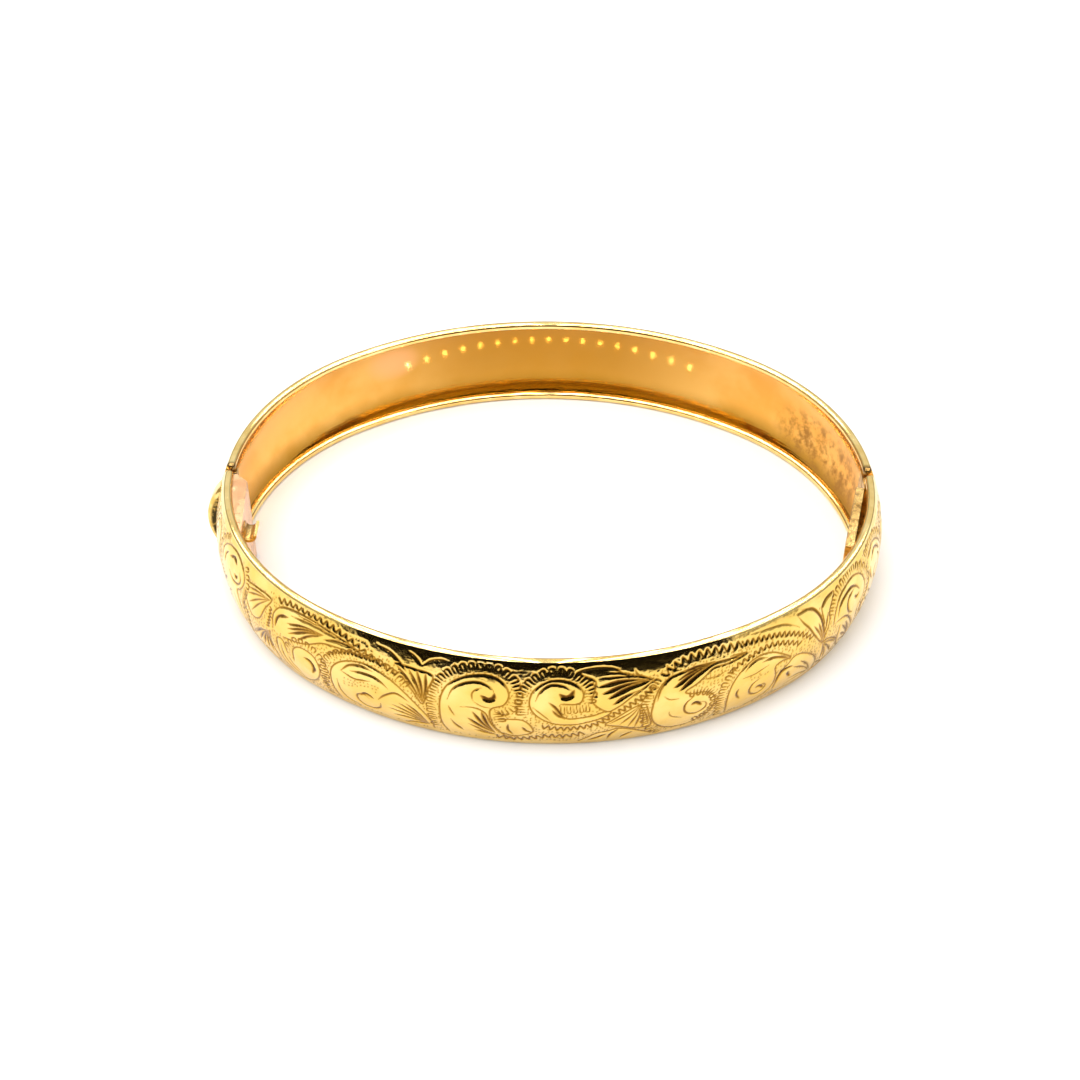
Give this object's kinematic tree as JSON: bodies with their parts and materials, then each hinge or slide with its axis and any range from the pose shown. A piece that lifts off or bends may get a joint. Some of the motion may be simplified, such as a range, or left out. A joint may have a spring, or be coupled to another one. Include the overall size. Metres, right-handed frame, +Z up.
{
  "type": "bangle bracelet",
  "caption": "Hinged oval bangle with an engraved front half, a plain rear half, rim wires, a hinge and a thumb-press snap clasp.",
  "frame": {"origin": "middle of the oval on the surface the bangle lies on", "axes": "+X from the clasp to the hinge along the oval's length, +Y from the engraved half to the plain half, +Z up across the band"},
  "size_m": [0.0659, 0.0562, 0.01],
  "materials": {
    "engraved_gold": "polished yellow gold, hand engraved with darkened cuts",
    "polished_gold": "polished yellow gold outside, satin and warmer inside",
    "rim_gold": "polished yellow gold wire",
    "rose_gold": "rose-tinted gold sheet, lightly tarnished",
    "joint_gold": "satin yellow gold with solder seams",
    "spring_gold": "hard rolled gold strip, satin"
  },
  "bodies": {
    "rear_half": {"rear_shell": "polished_gold", "rear_top_rim": "rim_gold", "rear_bottom_rim": "rim_gold", "rear_hinge_bearer": "joint_gold", "rear_knuckle": "joint_gold", "hinge_pin": "joint_gold", "rear_end_plate": "joint_gold", "tongue": "spring_gold", "snap_spring": "spring_gold"},
    "front_half": {"front_shell": "engraved_gold", "front_top_rim": "rim_gold", "front_bottom_rim": "rim_gold", "front_hinge_plate": "joint_gold", "front_hinge_bearer": "joint_gold", "front_knuckles": "joint_gold", "clasp_box": "rose_gold", "clasp_mouth_plate": "joint_gold", "pull_tab": "joint_gold"},
    "thumb_press": {"thumb_piece": "polished_gold"}
  },
  "joints": [
    {"name": "front_swing", "type": "hinge", "parent": "rear_half", "child": "front_half", "pos_m": [0.03135, 0, 0.005], "axis": [0, 0, 1], "range_deg": [0, 50]},
    {"name": "thumb_travel", "type": "slide", "parent": "rear_half", "child": "thumb_press", "axis": [1, 0, 0], "range_m": [0, 0.0004], "stiffness_N_per_m": 8000, "deforming": ["snap_spring"]}
  ]
}
